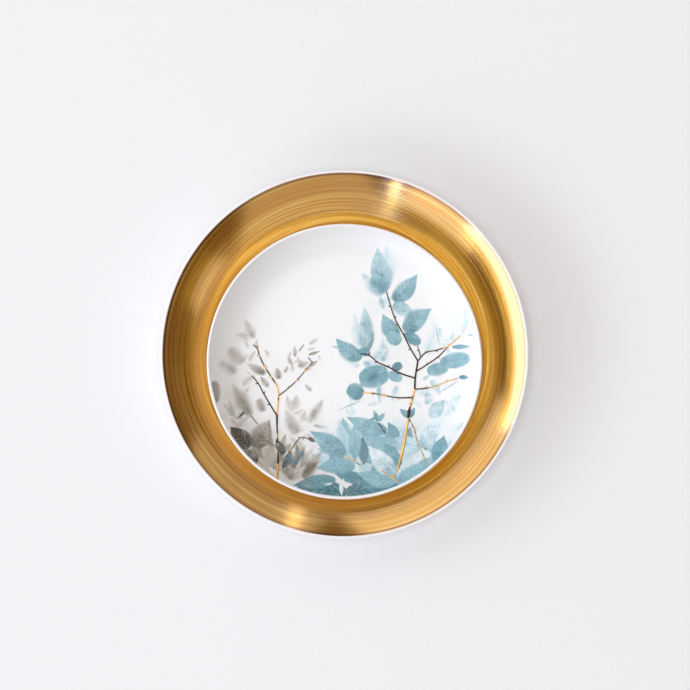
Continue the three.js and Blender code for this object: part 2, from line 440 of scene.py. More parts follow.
def brushed_gold():
    gold = Finish("brushed_gold")
    x, y, _ = gold.split(gold.place())
    distance = gold.math("SQRT", x * x + y * y)
    turn_x = x / distance
    turn_y = y / distance

    def brush(lines, streaks, detail, shift):
        """Brush marks along the circle, with so many to the metre across it."""
        track = gold.node("ShaderNodeCombineXYZ", None, {
            0: distance * lines + shift,
            1: turn_x * streaks,
            2: turn_y * streaks,
        }).outputs[0]
        return gold.cloud(track, 1.0, detail, 0.6)

    ridges = brush(290.0, 0.5, 1.0, 4.0)
    medium = brush(800.0, 0.9, 2.0, 11.0)
    fine = brush(2100.0, 1.5, 2.0, 23.0)
    mottle = gold.cloud(gold.place(), 26.0, 2.0, shift=9.0)
    marks = ridges * 0.30 + medium * 0.45 + fine * 0.25
    tone = gold.node("ShaderNodeValToRGB", {"stops": [
        (0.38, (0.55, 0.235, 0.003, 1)),
        (0.50, (0.65, 0.325, 0.008, 1)),
        (0.62, (0.83, 0.525, 0.12, 1)),
    ]}, {0: marks}).outputs[0]
    tone = gold.blend(gold.between(mottle, 0.45, 0.7) * 0.3, tone, (0.56, 0.275, 0.022, 1))
    # the gold draws together into a thin dark line just inside its edge
    rim = gold.between(distance, GOLD_RIM - 2.0 * MM, GOLD_RIM - 1.2 * MM)
    rim = rim * (1 - gold.between(distance, GOLD_RIM - 0.6 * MM, GOLD_RIM))
    tone = gold.blend(rim * 0.9, tone, (0.26, 0.085, 0.004, 1))
    return gold.coat({
        "Base Color": tone,
        "Metallic": 1.0,
        "Roughness": medium * 0.12 + fine * 0.10 + 0.11,
        "Anisotropic": 0.92,
        "Anisotropic Rotation": 0.25,
        "Coat Weight": 1.0,
        "Coat Roughness": 0.17,
        "Coat IOR": 1.95,
        "Normal": gold.bump(ridges * 0.34 + medium * 0.34 + fine * 0.08, 0.13 * MM),
    })


gold_lining = turn_on_wheel(
    "dinner_plate_gold",
    dinner_form,
    lining_profile(dinner_form, GOLD_LAYER, GOLD_RIM),
    brushed_gold(),
)
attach(gold_lining, "dinner_plate")
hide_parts("dinner_plate_gold_lining")


# ----------------------------------------------------------
# Leaf plate body: the same white porcelain, a smaller coupe plate with a round
# bright lip. It lies loose in the dinner plate, a little towards the front.
# ----------------------------------------------------------
INK_LAYER = 0.3 * MM
leaf_form = PlateForm(
    "leaf_plate_body",
    wall_width=28.5 * MM,
    well_thickness=4 * MM,
    foot_height=2.5 * MM,
    lip_thickness=2.4 * MM,
)
ink_end = leaf_form.on_wall(leaf_form.sweep, 0)[0]
leaf_porcelain = fired_body(
    "leaf_plate_porcelain",
    leaf_form,
    foot_inset=12 * MM,
    foot_width=3 * MM,
    layer=INK_LAYER,
    layer_end=ink_end,
)
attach(leaf_porcelain, "leaf_plate")
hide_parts("leaf_plate_body")


# ----------------------------------------------------------
# Leaf transfer: enamel colours printed on a sheet, slid onto the glazed face and
# fired in. First its ground, which is white with pale watercolour washes.
# ----------------------------------------------------------
WHITE = Vector((0.870, 0.880, 0.868))
TEAL_WASH = Vector((0.36, 0.56, 0.61))
GREY_WASH = Vector((0.42, 0.39, 0.35))
WELL_RINGS = 44

# Each wash is a soft patch: middle, half sizes, lean in degrees, colour, amount.
washes = [
    ((36, -78), (44, 24), 6, TEAL_WASH, 0.95),
    ((4, -64), (26, 18), -20, TEAL_WASH, 0.75),
    ((64, -62), (22, 22), -25, TEAL_WASH, 0.40),
    ((82, -46), (10, 26), -12, TEAL_WASH, 0.22),
    ((44, -50), (20, 12), 0, TEAL_WASH, 0.28),
    ((90, -14), (7, 18), -4, TEAL_WASH, 0.16),
    ((78, 18), (16, 12), 30, TEAL_WASH, 0.14),
    ((84, 40), (6, 14), 20, TEAL_WASH, 0.14),
    ((44, 6), (16, 16), 0, TEAL_WASH, 0.16),
    ((26, 4), (9, 16), 0, TEAL_WASH, 0.30),
    ((28, 42), (9, 8), 0, TEAL_WASH, 0.26),
    ((22, -30), (24, 8), 0, TEAL_WASH, 0.14),
    ((-42, -82), (26, 14), -22, GREY_WASH, 0.75),
    ((-66, -64), (20, 18), -35, GREY_WASH, 0.62),
    ((-84, -34), (13, 24), -12, GREY_WASH, 0.38),
    ((-90, -2), (9, 18), 0, GREY_WASH, 0.20),
    ((-44, -56), (18, 18), 0, GREY_WASH, 0.28),
    ((-24, -60), (12, 22), 10, GREY_WASH, 0.26),
    ((-32, -4), (13, 11), 0, GREY_WASH, 0.16),
    ((-60, -10), (16, 16), 0, GREY_WASH, 0.14),
]


def ground_colour(x, y):
    """The ground's colour at a place in millimetres from the plate's middle."""
    colour = WHITE.copy()
    for (mx, my), (wide, tall), lean, tint, amount in washes:
        turn = math.radians(lean)
        dx = x - mx
        dy = y - my
        along = (dx * math.cos(turn) + dy * math.sin(turn)) / wide
        aside = (dy * math.cos(turn) - dx * math.sin(turn)) / tall
        share = amount * math.exp(-1.3 * (along ** 2 + aside ** 2))
        if share < 0.01:
            continue
        share *= 0.75 + 0.7 * noise.noise(Vector((x * 0.13, y * 0.13, mx)))
        share *= 0.9 + 0.5 * noise.noise(Vector((x * 0.42, y * 0.42, my)))
        colour = colour.lerp(tint, min(max(share, 0.0), 1.0))
    return colour


def ink_ground():
    ink = Finish("leaf_transfer_ground")
    place = ink.place()
    paint = ink.node("ShaderNodeAttribute", {"attribute_name": "paint"}).outputs["Color"]
    grain = ink.cloud(place, 420.0, 4.0, 0.6)
    bloom = ink.cloud(place, 90.0, 3.0, shift=6.0)
    dried = ink.between(grain * 0.5 + bloom * 0.5, 0.42, 0.62) * 0.35
    return ink.coat({
        "Base Color": ink.blend(dried, paint, (*WHITE, 1)),
        "Roughness": grain * 0.05 + 0.17,
        "Specular IOR Level": 0.25,
        "Normal": ink.bump(bloom * 0.5 + grain * 0.1, 0.03 * MM),
    })


def ground_profile(form, thickness, end_distance):
    """An even layer with its flat well cut into rings, to carry the washes."""
    profile = lining_profile(form, thickness, end_distance)
    well = [
        (form.well_radius * step / WELL_RINGS, form.well_z) for step in range(1, WELL_RINGS)
    ]
    return profile[:1] + well + profile[1:]


def paint_ground(mesh, form):
    layer = mesh.attributes.new("paint", "FLOAT_COLOR", "POINT")
    for corner, value in zip(mesh.vertices, layer.data):
        x = (corner.co.x - form.middle.x) / MM
        y = (corner.co.y - form.middle.y) / MM
        value.color = (*ground_colour(x, y), 1.0)


leaf_ground = turn_on_wheel(
    "leaf_plate_transfer_ground",
    leaf_form,
    ground_profile(leaf_form, INK_LAYER, ink_end - LAYER_SHORT),
    ink_ground(),
)
paint_ground(leaf_ground.data, leaf_form)
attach(leaf_ground, "leaf_plate")
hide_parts("leaf_plate_leaf_transfer")


# ----------------------------------------------------------
# Leaves of the transfer: each is one thick touch of enamel colour, laid from the
# back of the spray to the front, darker where the colour pooled.
# ----------------------------------------------------------
SKIN = 0.22 * MM  # how thick a leaf is, down into what it lies on
LAYER_STEP = 0.012 * MM
FIRST_LAYER = 0.014 * MM
LEAF_ALONG = 20
TOOTHED_ALONG = 44
LEAF_ACROSS = 10
TEETH = 11
ink_limit = (ink_end - 0.3 * MM) / MM

TEAL = Vector((0.170, 0.365, 0.420))
DEEP_TEAL = Vector((0.088, 0.235, 0.282))
SOFT_TEAL = Vector((0.275, 0.485, 0.545))
PALE_TEAL = Vector((0.520, 0.690, 0.735))
FROST = Vector((0.740, 0.835, 0.860))
SLATE = Vector((0.135, 0.235, 0.260))
TAUPE = Vector((0.262, 0.232, 0.185))
SOFT_TAUPE = Vector((0.420, 0.388, 0.335))
PALE_TAUPE = Vector((0.620, 0.602, 0.560))
UMBER = Vector((0.112, 0.092, 0.066))
INK = Vector((0.080, 0.094, 0.092))


def outline_ovate(u):
    return math.sin(math.pi * u ** 0.78) ** (0.72 + 0.55 * u)


def outline_round(u):
    return math.sqrt(max(0.0, 1 - (2 * u - 1) ** 2)) ** 0.92


def outline_lance(u):
    return math.sin(math.pi * u ** 0.9) ** 1.25


outlines = {"ovate": outline_ovate, "round": outline_round, "lance": outline_lance}


@dataclass
class Leaf:
    """One painted leaf, from its base to its tip, in millimetres from the middle."""

    base: tuple
    tip: tuple
    width: float
    dark: Vector  # where the paint pooled
    light: Vector  # where it is thin
    kind: str = "ovate"
    bend: float = 0.0
    soft: float = 0.08  # how much of it is blurred along its edge
    feather: float = 0.0  # washes out its left side (+1) or its right (-1)
    pool: float = 0.1  # the end that is dark: 0 the base, 1 the tip
    fade: float = 0.0  # how thin its tip is
    teeth: float = 0.0
    wave: float = 0.0  # sets its own unevenness
    level: int = 0  # how many leaves deep it lies over the ground

    def __post_init__(self):
        self.length = math.dist(self.base, self.tip)
        self.ax = (self.tip[0] - self.base[0]) / self.length
        self.ay = (self.tip[1] - self.base[1]) / self.length
        self.outline = outlines[self.kind]
        base, tip = Vector(self.base), Vector(self.tip)
        self.spine = [base.lerp(tip, share / 4) for share in range(5)]

    def point(self, u, v):
        """The place of a point so far along the leaf and so far out from its rib."""
        half = self.width / 2 * self.outline(u)
        half *= 1 + 0.10 * noise.noise(Vector((u * 3.1, self.wave, math.copysign(2.0, v))))
        half *= 1 - self.teeth * abs(math.sin(u * math.pi * TEETH)) * abs(v)
        along = u * self.length
        aside = v * half + self.bend * self.width * math.sin(math.pi * u)
        return (
            self.base[0] + self.ax * along - self.ay * aside,
            self.base[1] + self.ay * along + self.ax * aside,
        )

    def locate(self, x, y):
        """Where on the leaf a place is, or None beside it."""
        dx = x - self.base[0]
        dy = y - self.base[1]
        u = (dx * self.ax + dy * self.ay) / self.length
        if not 0.0 < u < 1.0:
            return None
        aside = dy * self.ax - dx * self.ay
        v = (aside - self.bend * self.width * math.sin(math.pi * u)) / (
            self.width / 2 * self.outline(u) + 1e-6)
        return (u, v) if abs(v) < 1.0 else None

    def paint(self, x, y, u, v):
        """The colour at one point and how much of it there is."""
        tide = abs(u - (1 - self.pool)) ** 1.35
        cloud = noise.noise(Vector((x * 0.16 + self.wave, y * 0.16, self.wave)))
        drift = noise.noise(Vector((x * 0.45, y * 0.45 + self.wave, self.wave)))
        share = tide - 0.26 * self.feather * v + 0.50 * cloud + 0.28 * drift
        colour = self.light.lerp(self.dark, min(max(share, 0.0), 1.0))
        soft = self.soft + 0.55 * max(0.0, self.feather * v)
        edge = 1 - max(abs(v), abs(2 * u - 1) ** 3)
        amount = min(1.0, max(0.0, edge / soft)) ** 1.2
        amount *= 1 - self.fade * min(max((u - 0.35) / 0.65, 0.0), 1.0)
        return colour, amount

    def touches(self, other):
        near = 0.45 * (self.width + other.width)
        return any((a - b).length < near for a in self.spine for b in other.spine)


class LeafSpray:
    """A sheet of leaves that are laid one over another."""

    def __init__(self, name, seed, under=()):
        self.name = name
        self.chance = random.Random(seed)
        self.shape = bmesh.new()
        self.colours = self.shape.verts.layers.float_color.new("paint")
        self.vein = self.shape.loops.layers.uv.new("vein")
        self.laid = list(under)

    def lay(self, base, tip, width, dark, light, **ways):
        leaf = Leaf(base, tip, width, dark, light, wave=self.chance.uniform(0, 100), **ways)
        beneath = [other for other in self.laid if leaf.touches(other)]
        leaf.level = 1 + max((other.level for other in beneath), default=-1)
        self.laid.append(leaf)
        lift = FIRST_LAYER + leaf.level * LAYER_STEP
        grid = bmesh.ops.create_grid(
            self.shape,
            x_segments=TOOTHED_ALONG if leaf.teeth else LEAF_ALONG,
            y_segments=LEAF_ACROSS,
            size=1.0,
        )
        plan = {}
        for corner in grid["verts"]:
            u = (corner.co.x + 1) / 2
            v = corner.co.y
            plan[corner] = (u, v)
            x, y = leaf.point(u, v)
            distance = math.hypot(x, y)
            if distance > ink_limit:
                x *= ink_limit / distance
                y *= ink_limit / distance
                distance = ink_limit
            # thin paint lets through what was laid before it
            below = ground_colour(x, y)
            for other in beneath:
                spot = other.locate(x, y)
                if spot:
                    tint, cover = other.paint(x, y, *spot)
                    below = below.lerp(tint, cover)
            tint, amount = leaf.paint(x, y, u, v)
            corner[self.colours] = (*below.lerp(tint, amount), amount)
            corner.co = leaf_form.middle + Vector((
                x * MM,
                y * MM,
                leaf_form.face_z(distance * MM) + lift,
            ))
        for face in {face for corner in grid["verts"] for face in corner.link_faces}:
            face.smooth = True
            for edge in face.edges:
                edge.smooth = not edge.is_boundary
            for loop in face.loops:
                u, v = plan[loop.vert]
                loop[self.vein].uv = (u, v * 0.5 + 0.5)

    def strew(self, middle, spread, lean, count, lengths, tones, soft=0.2):
        """Leaves scattered over a patch, all leaning about one way."""
        for _ in range(count):
            turn = self.chance.uniform(0, 2 * math.pi)
            reach = math.sqrt(self.chance.random())
            x = middle[0] + spread[0] * reach * math.cos(turn)
            y = middle[1] + spread[1] * reach * math.sin(turn)
            heading = math.radians(lean + self.chance.uniform(-65, 65))
            length = self.chance.uniform(*lengths)
            width = length * self.chance.uniform(0.42, 0.68)
            dark, light = self.chance.choice(tones)
            tip = (x + length * math.cos(heading), y + length * math.sin(heading))
            if math.hypot(*tip) < ink_limit and math.hypot(x, y) < ink_limit:
                self.lay((x, y), tip, width, dark, light, soft=soft,
                         bend=self.chance.uniform(-0.15, 0.15),
                         feather=self.chance.choice((-1, 1)),
                         pool=self.chance.uniform(0, 1))

    def finish(self, material):
        bmesh.ops.remove_doubles(self.shape, verts=self.shape.verts, dist=2e-7)
        bmesh.ops.recalc_face_normals(self.shape, faces=self.shape.faces)
        for face in self.shape.faces:
            if face.normal.z < 0:
                face.normal_flip()
        piece = make_piece(self.name, self.shape, material)
        skin = piece.modifiers.new("enamel", "SOLIDIFY")
        skin.thickness = SKIN
        skin.offset = -1
        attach(piece, "leaf_plate")


def leaf_enamel(name, pooled):
    """The paint laid on each leaf, with its veins, pooled edge and grain."""
    enamel = Finish(name)
    place = enamel.place()
    layer = enamel.node("ShaderNodeAttribute", {"attribute_name": "paint"})
    paint = layer.outputs["Color"]
    amount = enamel.signal(layer, "Alpha")
    blade_map = enamel.node("ShaderNodeUVMap", {"uv_map": "vein"}).outputs[0]
    along, across, _ = enamel.split(blade_map)
    aside = enamel.math("ABSOLUTE", across * 2 - 1)
    midrib = 1 - enamel.between(aside, 0.02, 0.08)
    ribs = enamel.math("FRACT", along * 7.0 - aside * 1.9 + 10.0)
    ribs = enamel.math("ABSOLUTE", ribs - 0.5)
    blade = enamel.between(aside, 0.95, 0.55)
    edge = enamel.between(aside, 0.80, 0.98)
    grain = enamel.cloud(place, 700.0, 3.0, 0.65)
    bloom = enamel.cloud(place, 190.0, 3.0, 0.6, shift=4.0)
    darker = enamel.blend(1.0, paint, (*pooled, 1), "MULTIPLY")
    lighter = enamel.blend(0.34, paint, (*WHITE, 1))
    tone = enamel.blend(enamel.between(bloom, 0.54, 0.72) * amount * 0.55, paint, lighter)
    tone = enamel.blend(enamel.between(bloom, 0.46, 0.30) * amount * 0.7, tone, darker)
    tone = enamel.blend(edge * amount * 0.45, tone, darker)
    between_ribs = enamel.between(ribs, 0.24, 0.46) * blade
    tone = enamel.blend(between_ribs * bloom * amount * 0.55, tone, lighter)
    veins = (1 - enamel.between(ribs, 0.02, 0.12)) * blade
    tone = enamel.blend(veins * amount * 0.32, tone, darker)
    tone = enamel.blend(midrib * amount * 0.65, tone, darker)
    tone = enamel.blend(enamel.between(grain, 0.60, 0.76) * amount * 0.26, tone, lighter)
    return enamel.coat({
        "Base Color": tone,
        "Roughness": grain * 0.06 + 0.14,
        "Specular IOR Level": 0.25,
        "Normal": enamel.bump(bloom * 0.4 + grain * 0.2, 0.03 * MM),
    })


teal_haze = [(PALE_TEAL, FROST)]
teal = LeafSpray("teal_spray_leaves", 11)
# the haze of small leaves behind, and the crowded ones along the front edge
teal.strew((72, -40), (18, 22), 95, 12, (7, 13), teal_haze, 0.5)
teal.strew((80, 16), (12, 14), 60, 7, (6, 10), teal_haze, 0.6)
teal.strew((20, -36), (22, 8), 80, 6, (6, 10), teal_haze, 0.5)
teal.strew((34, -80), (44, 20), 110, 34, (13, 22),
           [(TEAL, SOFT_TEAL), (SOFT_TEAL, PALE_TEAL), (SLATE, TEAL)], 0.12)
teal.strew((6, -70), (22, 14), 120, 10, (12, 20),
           [(TEAL, SOFT_TEAL), (SOFT_TEAL, PALE_TEAL)], 0.15)
front_leaves = [
    # base, tip, width, dark, light, and how it differs from a plain leaf
    ((3, -100), (-37, -95), 16, SLATE, DEEP_TEAL, {"pool": 0.4}),
    ((-6, -90), (-40, -94), 11, SLATE, TEAL, {"pool": 0.9}),
    ((0, -100), (42, -93), 16, SLATE, DEEP_TEAL, {"pool": 0.3}),
    ((36, -97), (5, -90), 11, DEEP_TEAL, TEAL, {}),
    ((16, -90), (-10, -84), 10, DEEP_TEAL, TEAL, {"bend": 0.1}),
    ((52, -88), (74, -70), 12, TEAL, SOFT_TEAL, {"soft": 0.2}),
    ((42, -92), (63, -77), 13, TEAL, SOFT_TEAL, {}),
    ((66, -74), (84, -58), 12, SOFT_TEAL, FROST, {"soft": 0.3}),
    ((58, -66), (75, -42), 13, SOFT_TEAL, FROST, {"soft": 0.15}),
    ((47, -59), (37, -43), 11, SOFT_TEAL, FROST, {"pool": 0.2}),
    ((41, -60), (33, -46), 9, SLATE, TEAL, {"pool": 0.6}),
    ((43, -80), (30, -61), 10, SLATE, TEAL, {"pool": 0.5}),
    ((15, -80), (14, -57), 9, SLATE, DEEP_TEAL, {"kind": "lance"}),
    ((3, -73), (-5, -43), 10, SOFT_TEAL, PALE_TEAL, {"kind": "lance", "fade": 0.4}),
    ((8, -77), (8, -46), 11, TEAL, SOFT_TEAL, {"kind": "lance", "fade": 0.2}),
    ((70, -77), (76, -56), 14, SLATE, TEAL, {"pool": 0.5}),
    ((34, -60), (17, -64), 9, TEAL, SOFT_TEAL, {}),
    ((33, -54), (1, -42), 14, DEEP_TEAL, SOFT_TEAL, {"bend": 0.12, "pool": 0.2}),
    ((1, -73), (-27, -53), 16, DEEP_TEAL, SOFT_TEAL, {"bend": -0.05}),
    ((9, -80), (-23, -82), 14, TEAL, SOFT_TEAL, {"bend": -0.1}),
    ((41, -90), (8, -85), 14, TEAL, SOFT_TEAL, {"bend": 0.12, "pool": 0.3}),
    ((59, -66), (31, -62), 13.5, TEAL, PALE_TEAL, {"bend": -0.1, "pool": 0.7}),
    ((39, -87), (18, -64), 16, TEAL, FROST, {"bend": 0.05}),
    ((65, -43), (77, -29), 11.5, TEAL, PALE_TEAL, {"pool": 0.8}),
    ((62, -33), (68, -24), 6, SOFT_TEAL, FROST, {"soft": 0.4}),
    ((26, -46), (22, -37), 4.2, DEEP_TEAL, SOFT_TEAL, {}),
    ((26, -46), (31, -39), 4.0, TEAL, SOFT_TEAL, {}),
    ((50, -43), (42, -36), 5.5, DEEP_TEAL, TEAL, {}),
    ((50, -43), (54, -35), 4.8, DEEP_TEAL, TEAL, {}),
]
upper_leaves = [
    ((29, 50), (13, 69), 11, SOFT_TEAL, FROST, {"bend": 0.15, "soft": 0.3, "feather": 1}),
    ((27, 44), (38, 50), 6, SOFT_TEAL, FROST, {"soft": 0.6}),
    ((30, 40), (26, 52), 5, TEAL, FROST, {"soft": 0.4, "feather": 1}),
    ((34, 60), (32, 90), 19, PALE_TEAL, FROST, {"soft": 0.8}),
    ((31, 53), (25, 88), 19, TEAL, PALE_TEAL, {"teeth": 0.08, "feather": -0.5}),
    ((33, 53), (19, 63), 13, DEEP_TEAL, TEAL, {"kind": "round", "soft": 0.8}),
    ((37, 46), (56, 67), 15.5, DEEP_TEAL, SOFT_TEAL, {"bend": -0.08, "feather": 0.5}),
    ((37, 44), (51, 36), 12, TEAL, PALE_TEAL, {"kind": "round", "feather": -0.6}),
    ((41, 17), (29, 37), 14, DEEP_TEAL, SOFT_TEAL, {"bend": 0.12, "feather": 0.5}),
    ((43, 14), (33, 22), 12, TEAL, SOFT_TEAL, {"kind": "round", "feather": -0.5}),
    ((45, 23), (67, 41), 17, DEEP_TEAL, SOFT_TEAL, {"bend": 0.05, "feather": 0.45}),
    ((47, 22), (58, 13), 9.5, DEEP_TEAL, TEAL, {"kind": "round", "feather": 0.4}),
    ((29, -1), (30, 19), 11, TEAL, FROST, {"soft": 0.7}),
    ((22, 2), (33, 10), 8, SOFT_TEAL, FROST, {"soft": 0.8}),
    ((13, 9), (7, 39), 12, SOFT_TEAL, FROST, {"soft": 0.8}),
    ((16, 6), (15, 43), 14.5, DEEP_TEAL, PALE_TEAL, {"bend": -0.04, "feather": 0.9}),
    ((20, 6), (10, 8), 7, DEEP_TEAL, TEAL, {"kind": "round", "soft": 0.3}),
    ((14, 0), (26, -7), 8, SOFT_TEAL, FROST, {"soft": 0.7}),
    ((12, -4), (0, 2), 8, PALE_TEAL, FROST, {"soft": 0.7}),
    ((13, 1), (-7, 18), 15, DEEP_TEAL, SOFT_TEAL, {"bend": 0.14, "feather": 0.8}),
    ((-4, 10), (-10, 12), 2.0, SOFT_TEAL, PALE_TEAL, {"kind": "lance"}),
    ((34, -8), (11, -15), 19, TEAL, TEAL, {"kind": "round", "feather": 0.3}),
    ((26, -9), (17, -15), 9.5, DEEP_TEAL, DEEP_TEAL, {"kind": "round", "soft": 0.9}),
    ((36.5, -6), (44, -2), 7.5, DEEP_TEAL, DEEP_TEAL, {"kind": "round"}),
    ((33.5, -9), (44, -14), 8.5, TEAL, SOFT_TEAL, {"kind": "round", "feather": 0.3}),
    ((14.5, -26), (2, -20), 14, DEEP_TEAL, TEAL, {"kind": "round", "feather": -0.4}),
    ((63, -8), (80, -4), 11, TEAL, SOFT_TEAL, {"kind": "round", "feather": -0.5}),
    ((73, -1), (96, 3), 13, TEAL, SOFT_TEAL, {"kind": "round", "feather": 0.4}),
    ((82, 11), (97, 11.5), 4.0, TEAL, SOFT_TEAL, {}),
    ((91, 24), (93.5, 33), 3.4, TEAL, PALE_TEAL, {}),
    ((98.5, 28), (97, 35), 2.4, TEAL, SOFT_TEAL, {}),
    ((94, 20), (98, 20.5), 1.4, TEAL, SOFT_TEAL, {}),
    ((87.5, -12), (95, -12), 4.2, DEEP_TEAL, TEAL, {"soft": 0.3}),
    ((60, -14), (66, -10), 3, SOFT_TEAL, PALE_TEAL, {"soft": 0.3}),
    ((62, -24), (68, -32), 7, TEAL, FROST, {"soft": 0.5}),
    ((13, -30), (-9, -39), 1.0, TEAL, SOFT_TEAL, {"kind": "lance", "fade": 0.7}),
    ((88, -14), (70, -26), 0.9, TEAL, SOFT_TEAL, {"kind": "lance", "fade": 0.7}),
    ((70, 26), (74, 8), 1.0, SOFT_TEAL, PALE_TEAL, {"kind": "lance", "fade": 0.5}),
    ((62, 4), (70, 26), 13, PALE_TEAL, FROST, {"soft": 0.95}),
    ((92, 44), (90, 12), 6, PALE_TEAL, FROST, {"kind": "lance", "soft": 0.9}),
    ((26, -14), (27, -33), 5, SOFT_TEAL, PALE_TEAL, {"kind": "lance", "soft": 0.5}),
    ((40, -18), (36, -32), 6, SOFT_TEAL, FROST, {"soft": 0.6}),
    ((66, -14), (74, -26), 8, SOFT_TEAL, FROST, {"soft": 0.5}),
    ((-15, -94), (-9, -93), 2.2, WHITE, WHITE, {"kind": "round", "soft": 0.3}),
    ((-4, -92), (6, -94), 3.4, WHITE, WHITE, {"kind": "round", "soft": 0.3}),
    ((-3, -92), (-2, -102), 3.6, WHITE, WHITE, {"kind": "lance", "soft": 0.2}),
    ((-1, -89), (-1, -95), 2.2, WHITE, WHITE, {"kind": "lance", "soft": 0.3}),
]
for *leaf, ways in front_leaves + upper_leaves:
    teal.lay(*leaf, **ways)
teal.finish(leaf_enamel("teal_enamel", (0.66, 0.76, 0.79)))

grey_haze = [(SOFT_TAUPE, PALE_TAUPE)]
grey = LeafSpray("grey_spray_leaves", 29, teal.laid)
grey.strew((-48, -78), (22, 13), 100, 22, (10, 18),
           [(TAUPE, SOFT_TAUPE), (SOFT_TAUPE, PALE_TAUPE), (UMBER, SOFT_TAUPE)], 0.5)
grey.strew((-78, -40), (13, 24), 100, 12, (9, 16), grey_haze, 0.9)
grey.strew((-36, -46), (16, 15), 80, 9, (8, 14), grey_haze, 0.9)
grey.strew((-32, 2), (14, 12), 60, 9, (5, 10), grey_haze, 0.95)
grey.strew((-70, 6), (14, 14), 120, 7, (7, 12), grey_haze, 0.95)
grey_leaves = [
    # base, tip, width, dark, light, and how it differs from a plain leaf
    ((-53, -80), (-63, -62), 14, SOFT_TAUPE, PALE_TAUPE, {"soft": 0.5}),
    ((-85, -42), (-88, -28), 8, SOFT_TAUPE, PALE_TAUPE, {"soft": 0.9}),
    ((-72, -66), (-87, -49), 15, INK, UMBER, {"soft": 0.2, "pool": 0.4}),
    ((-66, -77), (-79, -66), 12, UMBER, TAUPE, {"soft": 0.25}),
    ((-71, -43), (-87, -15), 14, TAUPE, SOFT_TAUPE, {"soft": 0.7, "fade": 0.7}),
    ((-69, -66), (-57, -44), 18, UMBER, SOFT_TAUPE, {"soft": 0.2, "feather": 0.4}),
    ((-98, -32), (-99, -14), 10, TAUPE, SOFT_TAUPE, {"kind": "round", "soft": 0.5}),
    ((-62, -39), (-66, -28), 10, TAUPE, SOFT_TAUPE, {"kind": "round", "soft": 0.7}),
    ((-77, -2), (-89, 10), 14, SOFT_TAUPE, PALE_TAUPE, {"kind": "round", "soft": 0.7}),
    ((-82, -9), (-96, 0), 12, SOFT_TAUPE, PALE_TAUPE, {"kind": "round", "soft": 0.9}),
    ((-69, 17), (-77, 34), 10, SOFT_TAUPE, PALE_TAUPE, {"soft": 0.7, "fade": 0.4}),
    ((-72, 16), (-84, 22), 7, PALE_TAUPE, PALE_TAUPE, {"soft": 0.9}),
    ((-60, -10), (-76, -1), 9, UMBER, SOFT_TAUPE, {"soft": 0.6, "fade": 0.5}),
    ((-50, -14), (-52, -4), 8, UMBER, SOFT_TAUPE, {"soft": 0.7}),
    ((-46, -9), (-43, -3), 4, TAUPE, SOFT_TAUPE, {"soft": 0.8}),
    ((-58, -20), (-65, -11), 6, UMBER, SOFT_TAUPE, {"soft": 0.7}),
    ((-36, -56), (-46, -36), 13, TAUPE, PALE_TAUPE, {"soft": 0.6}),
    ((-28, -48), (-16, -28), 10, UMBER, PALE_TAUPE, {"soft": 0.7, "pool": 0.8}),
    ((-38, 3), (-38, 13), 4.6, TAUPE, PALE_TAUPE, {"soft": 0.7}),
    ((-36, -4), (-26, 0), 6, TAUPE, PALE_TAUPE, {"soft": 0.8}),
    ((-28, 5), (-18, 8), 3.2, TAUPE, SOFT_TAUPE, {"soft": 0.5}),
    ((-27, 13), (-20, 18), 4, SOFT_TAUPE, PALE_TAUPE, {"soft": 0.6}),
    ((-40, -3), (-44, 5), 5, TAUPE, PALE_TAUPE, {"soft": 0.8}),
    ((-27, -4), (-20, 1), 4, TAUPE, SOFT_TAUPE, {"soft": 0.7}),
    ((-25, -23), (-31, -17), 5, SOFT_TAUPE, PALE_TAUPE, {"soft": 0.8}),
    ((-24, -49), (-13, -51), 3, TAUPE, PALE_TAUPE, {"soft": 0.4}),
    ((-44, -88), (-27, -82), 11, TAUPE, PALE_TAUPE, {"soft": 0.4}),
    ((-32, -90), (-17, -68), 11, UMBER, SOFT_TAUPE, {"soft": 0.5}),
    ((-30, -84), (-19, -76), 5, INK, TAUPE, {"soft": 0.4}),
    ((-34, -82), (-24, -66), 8, TAUPE, PALE_TAUPE, {"soft": 0.5, "kind": "lance"}),
    ((-40, -82), (-30, -64), 13, INK, SOFT_TAUPE, {"soft": 0.5, "pool": 0.4}),
    ((-38, -79), (-31, -67), 8, INK, SLATE, {"soft": 0.5, "pool": 0.5}),
    ((-46, -81), (-40, -68), 8, INK, SLATE, {"soft": 0.5}),
    ((-35, -76), (-37, -62), 4, UMBER, TAUPE, {"soft": 0.4, "kind": "lance"}),
    ((-38, -86), (-33, -74), 3, PALE_TAUPE, PALE_TAUPE, {"soft": 0.4, "kind": "lance"}),
    ((-46, -71), (-53, -59), 7, INK, INK, {"soft": 0.2}),
    ((-47, -82), (-46, -76), 3, INK, UMBER, {"soft": 0.4}),
    ((-28, -58), (-22, -62), 3.4, UMBER, INK, {"soft": 0.2}),
    ((-76, -38), (-82, -44), 2.6, INK, UMBER, {"soft": 0.5}),
]
for *leaf, ways in grey_leaves:
    grey.lay(*leaf, **ways)
grey.finish(leaf_enamel("grey_enamel", (0.76, 0.73, 0.68)))


# ----------------------------------------------------------
# Gilt stems: fine lines of gold drawn on the fired transfer and fired again. The
# gold is bright near the foot of each spray and burnt nearly black higher up.
# ----------------------------------------------------------
STEM_LIFT = 0.2 * MM  # of a stem's middle over the face
STEM_FLATNESS = 0.45  # how high a stem is for its width
THORN_LENGTH = 2.1  # in millimetres, as the stems are drawn
THORN_LEAN = 0.95  # away from the stem, in radians


